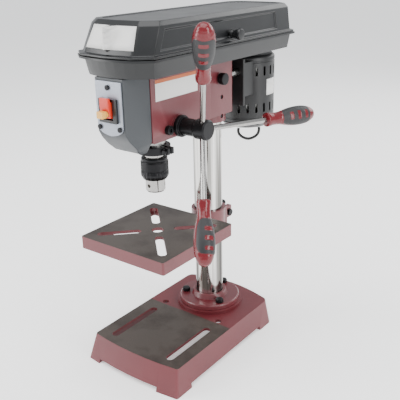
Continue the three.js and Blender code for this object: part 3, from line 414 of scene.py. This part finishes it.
CAD_LOOKS = {
    base_paint: {"base": 1.6},
    table_paint: {"table": 0.9},
    red: {"column_flange": 0.8, "head_casting": 1.0, "table_bracket": 1.2},
    bright_chrome: {"column": 0.3},
    plating: {"chuck_body": 0.4, "spoke_1": 0.3, "spoke_2": 0.3, "spoke_3": 0.3},
    dark_steel: {
        **{f"flange_bolt_{i}": 0.8 for i in (1, 2, 3)},
        **{f"plate_screw_{i}": 0.6 for i in (1, 2, 3)},
        "table_tilt_bolt": 0.8, "table_lock_lever": 0.7, "head_lock_screw_1": 0.2,
        "head_lock_screw_2": 0.2, "quill_guide_screw": 0.6, "spring_cap": 1.2, "return_spring": 0.1,
        "feed_hub": 0.6, "depth_dial": 0.5, "quill_collar": 0.6, "collar_screw": 0.5,
        "tension_knob": 0.8,
    },
    bright_steel: {
        "quill": 0.3, "spindle": 0.3, "upper_bearing": 0.3, "lower_bearing": 0.3, "feed_shaft": 0.3,
        "chuck_jaw_1": 0.3, "chuck_jaw_2": 0.3, "chuck_jaw_3": 0.3, "lid_hinge_pin": 0.2,
        "motor_rotor": 0.4, "slide_rod_1": 0.4, "slide_rod_2": 0.4,
    },
    black_plastic: {"pulley_housing": 1.0, "lid_knob": 0.8},
    gray_plastic: {"front_cover": 1.6},
    silver: {"switch_plate": 0.5},
    switch_black: {"switch_housing": 0.9},
    switch_red: {"switch_paddle": 0.9},
    switch_yellow: {"switch_key": 0.9},
    motor_black: {"motor_shell": 1.2, "motor_end_bell": 1.0, "motor_bracket": 1.0},
    aluminium: {"spindle_pulley": 0.4, "motor_pulley": 0.4},
    rubber: {"cord_gland": 0.5, "drive_belt": 0.4, "motor_lead": 0.2},
}


def dress_cad():
    for material, nodes in CAD_LOOKS.items():
        for node, width in nodes.items():
            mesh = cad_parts[node].data
            mesh.materials.clear()
            mesh.materials.append(material)
            soften_cad(node, width)


# ---- Pulley cover's lid ------------------------------------------------------------------


LID_RINGS = [
    # half width, front, rear, corner cut across, corner cut along, bow of the ends, height
    (67.8, -211.5, 164.5, 21, 17, 7, 486.6),
    (67.8, -211.5, 164.5, 21, 17, 7, 489.6),
    (63, -206.5, 159.5, 20, 16, 7, 490.4),
    (59.6, -189, 156.5, 18, 15, 5, 525),
    (55.6, -183, 152, 17, 14, 4.5, 530.8),
]
BOW_SPAN = 0.9  # share of the front's width that the bowed part takes
PANEL_START = 22  # where the lid's recessed side panels begin, behind its front edge, in mm
PANEL_END = 50  # where they end, before its rear edge


def front_points(half, front, cut_x, bow):
    """The front edge from left to right as (x, y): straight corners and a bowed middle."""
    span = half - cut_x
    middle = [
        (share * 2 * span * BOW_SPAN, front - bow * (1 - 3 * share * share))
        for share in (-0.5, 0, 0.5)
    ]
    return [(-span, front), *middle, (span, front)]


def cover_outline(half, front, rear, cut_x, cut_y, bow, z):
    """Straight sides with cut corners and bowed ends, at one height."""
    points = front_points(half, front, cut_x, bow)
    side = [front + cut_y, front + PANEL_START, rear - PANEL_END, rear - cut_y]
    points += [(half, y) for y in side]
    points += [(-x, front + rear - y) for x, y in front_points(half, front, cut_x, bow * 0.8)]
    points += [(-half, y) for y in reversed(side)]
    return [at(x, y, z) for x, y in points]


def add_lid():
    bm = rings_to_bmesh([cover_outline(*ring) for ring in LID_RINGS], closed_start=False)
    bm.normal_update()
    sides = [f for f in bm.faces if abs(f.normal.x) > 0.9 and f.calc_area() > 0.006]
    roof = max(bm.faces, key=lambda f: f.calc_center_median().z)
    bmesh.ops.recalc_face_normals(bm, faces=bm.faces)
    bmesh.ops.inset_individual(bm, faces=sides, thickness=4.5 * MM, depth=0, use_even_offset=True)
    bmesh.ops.inset_individual(bm, faces=sides, thickness=2.2 * MM, depth=-2.2 * MM)
    bmesh.ops.inset_region(bm, faces=[roof], thickness=7 * MM, depth=0, use_even_offset=True)
    bmesh.ops.inset_region(bm, faces=[roof], thickness=2 * MM, depth=-1.2 * MM)
    lid = from_bmesh("lid_shell", bm, black_plastic)
    shell = lid.modifiers.new("wall", "SOLIDIFY")
    shell.thickness = 2.4 * MM
    shell.offset = -1
    soften(lid, 1.3, 3, 18)
    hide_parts("pulley_lid")
    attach(lid, "lid")


def lid_front(x, z):
    """The y of the lid's sloped front at a width and height, in mm."""
    low, high = LID_RINGS[2], LID_RINGS[3]
    share = (z - low[6]) / (high[6] - low[6])
    edges = []
    for half, front, _, cut_x, _, bow, _ in (low, high):
        points = front_points(half, front, cut_x, bow)
        for (x0, y0), (x1, y1) in zip(points, points[1:]):
            if x0 <= x <= x1:
                edges.append(y0 + (y1 - y0) * (x - x0) / (x1 - x0))
    return edges[0] + (edges[1] - edges[0]) * share


def add_patch(name, place, columns, rows, material, body, thickness=0.35):
    """A thin label on a curved face: place(u, v) gives a point for u and v from 0 to 1."""
    bm = bmesh.new()
    grid = [
        [bm.verts.new(place(i / columns, j / rows)) for i in range(columns + 1)]
        for j in range(rows + 1)
    ]
    for low, high in zip(grid, grid[1:]):
        for i in range(columns):
            bm.faces.new((low[i], low[i + 1], high[i + 1], high[i]))
    label = from_bmesh(name, bm, material)
    skin = label.modifiers.new("thickness", "SOLIDIFY")
    skin.thickness = thickness * MM
    skin.offset = 0
    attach(label, body)


def add_lid_label():
    bottom, top = 496.5, 524.5

    def place(u, v):
        half_width = 41.5 - 4.5 * v
        x, z = half_width * (2 * u - 1), bottom + (top - bottom) * v
        return at(x, lid_front(x, z) - 0.35, z + 0.2)

    add_patch("lid_label", place, 12, 4, label_white, "lid")


# ---- Grips -------------------------------------------------------------------------------

HUB_LOW, HUB_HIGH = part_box("feed_hub")
SPOKES_MEET = 11.5  # how far inside the hub's outer face the spokes' axes meet, in mm
HUB_POINT = Vector((
    HUB_HIGH.x - SPOKES_MEET * MM, (HUB_LOW.y + HUB_HIGH.y) / 2, (HUB_LOW.z + HUB_HIGH.z) / 2
))
SPOKE_TILT, SPOKE_TURN = 21.5, -1.5  # degrees out from the hub's plane, and round its axis
SPOKE_REACH, GRIP_LENGTH = 192.5, 90.5
SPOKE_TRIM = (6, -6, 0)  # each spoke's own length, more or less than the reach
GRIP_PROFILE = [
    # radius, distance from the grip's inner end
    (4.4, 0), (9.2, 0.2), (10.1, 0.9), (10.3, 2.2), (10.2, 5), (9.7, 8), (9.2, 12), (9.1, 17),
    (9.4, 23), (10.4, 29), (11.7, 35), (12.9, 41), (13.7, 47), (14.2, 53), (14.3, 59),
    (14.0, 66), (13.4, 72), (12.2, 77), (10.4, 81.6), (8.4, 85.2), (5.8, 87.6), (2.4, 88.9),
]
PANEL = {"start": 26, "end": 75, "half_angle": 78, "proud": 0.3}
PANEL_SLOTS = [(40.7, 2.8), (53.5, 2.8), (67, 2.6)]  # middle and half width along the grip
PANEL_SLOT_ANGLE = 24
# the way each grip's first panel faces
PANEL_FACING = ((0.57, -0.76, 0.3), (0.57, -0.76, 0.3), (0.85, -0.4, 0.2))


def profile_radius(along):
    for (r0, s0), (r1, s1) in zip(GRIP_PROFILE, GRIP_PROFILE[1:]):
        if s0 <= along <= s1:
            share = (along - s0) / (s1 - s0)
            smooth = share * share * (3 - 2 * share) * 0.35 + share * 0.65
            return r0 + (r1 - r0) * smooth
    return GRIP_PROFILE[-1][0]


def on_panel(along, angle):
    """True where the rubber panel covers the grip; angle in degrees from the panel's middle."""
    middle = (PANEL["start"] + PANEL["end"]) / 2
    reach = (PANEL["end"] - PANEL["start"]) / 2
    across = abs(angle) / PANEL["half_angle"]
    lengthways = abs(along - middle) / reach
    if across**4 + lengthways**4 > 1:
        return False
    for place, half in PANEL_SLOTS:
        if abs(along - place) < half and abs(angle) < PANEL_SLOT_ANGLE:
            return False
    return True


def add_grip(index):
    angle = math.radians(SPOKE_TURN + 120 * index)
    tilt = math.radians(SPOKE_TILT)
    direction = (
        math.sin(tilt),
        math.cos(tilt) * math.cos(angle),
        math.cos(tilt) * math.sin(angle),
    )
    matrix = in_mm(HUB_POINT, direction, twist=PANEL_FACING[index])
    start = SPOKE_REACH + SPOKE_TRIM[index] - GRIP_LENGTH
    sides, rows = 96, 130
    bm = bmesh.new()
    grid = []
    rubber_at = {}
    for row in range(rows + 1):
        along = GRIP_PROFILE[-1][1] * row / rows
        ring = []
        for i in range(sides):
            turn = 360 * i / sides
            from_panel = min(abs((turn - c + 180) % 360 - 180) for c in (0, 180))
            rubber_here = on_panel(along, from_panel)
            radius = profile_radius(along) + (PANEL["proud"] if rubber_here else 0)
            rubber_at[(row, i)] = rubber_here
            place = (
                radius * math.cos(math.radians(turn)),
                radius * math.sin(math.radians(turn)),
                start + along,
            )
            ring.append(bm.verts.new(matrix @ Vector(place)))
        grid.append(ring)
    for row in range(rows):
        for i in range(sides):
            j = (i + 1) % sides
            face = bm.faces.new((grid[row][i], grid[row][j], grid[row + 1][j], grid[row + 1][i]))
            corners = [(row, i), (row, j), (row + 1, j), (row + 1, i)]
            face.material_index = 1 if sum(rubber_at[c] for c in corners) >= 3 else 0
    bm.faces.new(list(reversed(grid[0])))
    bm.faces.new(grid[-1])
    grip = from_bmesh(f"grip_body_{index + 1}", bm, grip_red)
    grip.data.materials.append(grip_rubber)
    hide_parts(f"grip_{index + 1}")
    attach(grip, "feed_handle")


# ---- Chuck sleeve ------------------------------------------------------------------------


def add_chuck_sleeve():
    low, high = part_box("chuck_sleeve")
    middle = Vector(((low.x + high.x) / 2, (low.y + high.y) / 2, low.z))
    height = (high.z - low.z) / MM
    radius = (high.x - low.x) / 2 / MM
    profile = [
        (15.2, height - 4), (15.2, height), (radius - 2.8, height), (radius - 1.4, height - 1.2),
        (radius - 1.2, height - 4.6), (radius - 2.2, height - 5.0), (radius - 2.2, height - 6.4),
        (radius - 0.2, height - 6.9),
    ]
    knurl_top, knurl_low = height - 7.2, 14.5
    steps = 26
    for i in range(steps + 1):
        profile.append((radius - 0.2, knurl_top + (knurl_low - knurl_top) * i / steps))
    profile += [
        (radius - 1.6, 14.0), (radius - 1.6, 12.8), (radius - 0.1, 12.4), (radius - 0.1, 5.2),
        (radius - 0.6, 4.6), (radius - 2.9, 0.3), (radius - 3.6, 0.1), (15.4, 0.1), (15.4, 4),
    ]

    def shape(r, z, angle):
        if knurl_low < z < knurl_top and r > radius - 1:
            diagonal = math.cos(angle * 48 + z * 2.2) * math.cos(angle * 48 - z * 2.2)
            return r - 0.35 + 0.35 * diagonal
        if 0.2 < z < 12.5 and r > 16.5:
            return r - 0.55 * (0.5 + 0.5 * math.cos(angle * 20)) ** 3
        return r

    sleeve = turned("chuck_ring_knurled", profile, in_mm(middle), dark_steel, 240, shape)
    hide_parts("chuck_sleeve")
    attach(sleeve, "chuck_ring")


# ---- Motor -------------------------------------------------------------------------------

VENT_HEIGHTS = (24, 84)  # the two rows of vents, above the can's foot, in mm
VENT_COUNT = 20
VENT_RADIUS, VENT_HALF_LENGTH = 2.2, 5.5  # of the round ends, and of the straight part
VENT_SIDES = 12


def add_motor_shell():
    low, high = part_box("motor_shell")
    centre = Vector(((low.x + high.x) / 2, (low.y + high.y) / 2, low.z))
    radius = (high.x - low.x) / 2 / MM
    height = (high.z - low.z) / MM
    profile = [
        (radius - 2.4, 0), (radius - 0.3, 0), (radius, 1), (radius, 5), (radius - 0.8, 5.6),
        (radius - 0.8, 7.2), (radius, 7.8), (radius, height - 12), (radius - 0.8, height - 11.4),
        (radius - 0.8, height - 9.8), (radius, height - 9.2), (radius, height - 5),
        (radius - 1.2, height - 2.4), (radius - 4, height), (10, height), (10, height - 6),
        (radius - 3, height - 7),
    ]
    shell = turned("motor_can", profile, in_mm(centre), motor_black, 144)
    cutters = bmesh.new()
    for row_height in VENT_HEIGHTS:
        for i in range(VENT_COUNT):
            turn = math.radians(360 / VENT_COUNT * i)
            across = Matrix.Rotation(turn, 4, "Z")
            outline = []
            for k in range(VENT_SIDES):
                a = 2 * math.pi * k / VENT_SIDES
                lift = VENT_HALF_LENGTH if math.sin(a) > 0 else -VENT_HALF_LENGTH
                outline.append((VENT_RADIUS * math.cos(a), VENT_RADIUS * math.sin(a) + lift))
            rings = [
                [in_mm(centre) @ (across @ Vector((depth, x, row_height + z))) for x, z in outline]
                for depth in (radius - 6, radius + 4)
            ]
            rows = [[cutters.verts.new(p) for p in ring] for ring in rings]
            for k in range(VENT_SIDES):
                m = (k + 1) % VENT_SIDES
                cutters.faces.new((rows[0][k], rows[0][m], rows[1][m], rows[1][k]))
            cutters.faces.new(list(reversed(rows[0])))
            cutters.faces.new(rows[1])
    cutter = from_bmesh("vent_cutter", cutters, None)
    cut = shell.modifiers.new("vents", "BOOLEAN")
    cut.object = cutter
    cut.solver = "EXACT"
    bpy.context.view_layer.update()
    evaluated = shell.evaluated_get(bpy.context.evaluated_depsgraph_get())
    mesh = bpy.data.meshes.new_from_object(evaluated)
    shell.modifiers.clear()
    shell.data = mesh
    bpy.data.objects.remove(cutter)
    soften(shell, 0.35, 2, 40)
    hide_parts("motor_shell")
    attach(shell, "motor")


# ---- Labels ------------------------------------------------------------------------------


def add_plate(name, corners, thickness, material, body, bevel):
    """A thin flat plate on four corners, standing out along their normal."""
    normal = (corners[1] - corners[0]).cross(corners[3] - corners[0]).normalized() * thickness * MM
    bm = bmesh.new()
    low = [bm.verts.new(c) for c in corners]
    high = [bm.verts.new(c + normal) for c in corners]
    for i in range(4):
        j = (i + 1) % 4
        bm.faces.new((low[i], low[j], high[j], high[i]))
    bm.faces.new(list(reversed(low)))
    bm.faces.new(high)
    plate = from_bmesh(name, bm, material)
    soften(plate, bevel, 2)
    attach(plate, body)


def add_motor_label():
    low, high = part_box("motor_shell")
    middle_x, middle_y = (low.x + high.x) / 2, (low.y + high.y) / 2
    radius = (high.x - low.x) / 2 + 0.2 * MM
    start, end, bottom, top = -12, 20, 388, 414

    def place(u, v):
        turn = math.radians(start + (end - start) * u)
        height = (bottom + (top - bottom) * v) * MM
        across, along = radius * math.cos(turn), radius * math.sin(turn)
        return Vector((middle_x + across, middle_y + along, height))

    add_patch("motor_label", place, 12, 2, label_white, "motor", 0.3)


HEAD_SIDE = 31.05  # x of the head casting's right face, in mm
SIDE_LABEL_FRONT, SIDE_LABEL_REAR = -155, -63
SIDE_LABEL_BOTTOM, SIDE_BAND_BOTTOM, SIDE_LABEL_TOP = 423, 447, 452


def side_corners(lift, bottom):
    """The corners of a plate on the head's right side, from a height to the label's top."""
    outline = (
        (SIDE_LABEL_FRONT, bottom), (SIDE_LABEL_REAR, bottom),
        (SIDE_LABEL_REAR, SIDE_LABEL_TOP), (SIDE_LABEL_FRONT, SIDE_LABEL_TOP),
    )
    return [at(HEAD_SIDE + lift, y, z) for y, z in outline]


def add_labels():
    add_lid_label()
    add_motor_label()
    add_plate(
        "side_label", side_corners(0, SIDE_LABEL_BOTTOM),
        0.25, label_white, "press_frame", 0.1,
    )
    add_plate(
        "side_label_band", side_corners(0.2, SIDE_BAND_BOTTOM),
        0.15, label_orange, "press_frame", 0.05,
    )


# ---- Studio ------------------------------------------------------------------------------

SOFTBOXES = (
    # name, place, target, width, height, power
    ("left_softbox", (-1.4, -1.3, 1.0), (0, 0, 0.3), 0.9, 1.8, 34),
    ("right_softbox", (1.9, -0.1, 1.0), (0, 0, 0.3), 0.7, 1.8, 26),
    ("top_softbox", (0.1, -0.4, 2.2), (0, 0, 0.2), 2.0, 2.0, 42),
    ("rear_softbox", (0.5, 1.9, 1.3), (0, 0, 0.3), 1.6, 1.2, 22),
)
FLOOR_REACH = 14
FLOOR_DROP = 0.0003  # keeps the floor just under the feet


def add_floor():
    bm = bmesh.new()
    corners = ((-1, -1), (1, -1), (1, 1), (-1, 1))
    places = [(x * FLOOR_REACH, y * FLOOR_REACH, -FLOOR_DROP) for x, y in corners]
    bm.faces.new([bm.verts.new(place) for place in places])
    n = Nodes("studio_floor")
    paper = n.finish(
        n.mix(n.noise(2, 2), srgb("f8f8f7"), srgb("fcfcfb")), 0.9,
        Emission_Color=(1.0, 1.0, 1.0, 1.0), Emission_Strength=0.55,
    )
    from_bmesh("floor", bm, paper)


def add_softbox(name, place, target, width, height, power):
    light = bpy.data.lights.new(name, "AREA")
    light.shape = "RECTANGLE"
    light.size = width
    light.size_y = height
    light.energy = power
    lamp = bpy.data.objects.new(name, light)
    lamp.location = place
    lamp.rotation_euler = (Vector(target) - Vector(place)).to_track_quat("-Z", "Y").to_euler()
    bpy.context.scene.collection.objects.link(lamp)


def add_studio():
    add_floor()
    for softbox in SOFTBOXES:
        add_softbox(*softbox)
    world = bpy.data.worlds.new("studio")
    world.use_nodes = True
    background = world.node_tree.nodes["Background"]
    background.inputs["Color"].default_value = (0.9, 0.92, 0.95, 1)
    background.inputs["Strength"].default_value = 0.95
    bpy.context.scene.world = world


add_camera()
dress_cad()
add_lid()
for grip_index in range(3):
    add_grip(grip_index)
add_chuck_sleeve()
add_motor_shell()
add_labels()
add_studio()
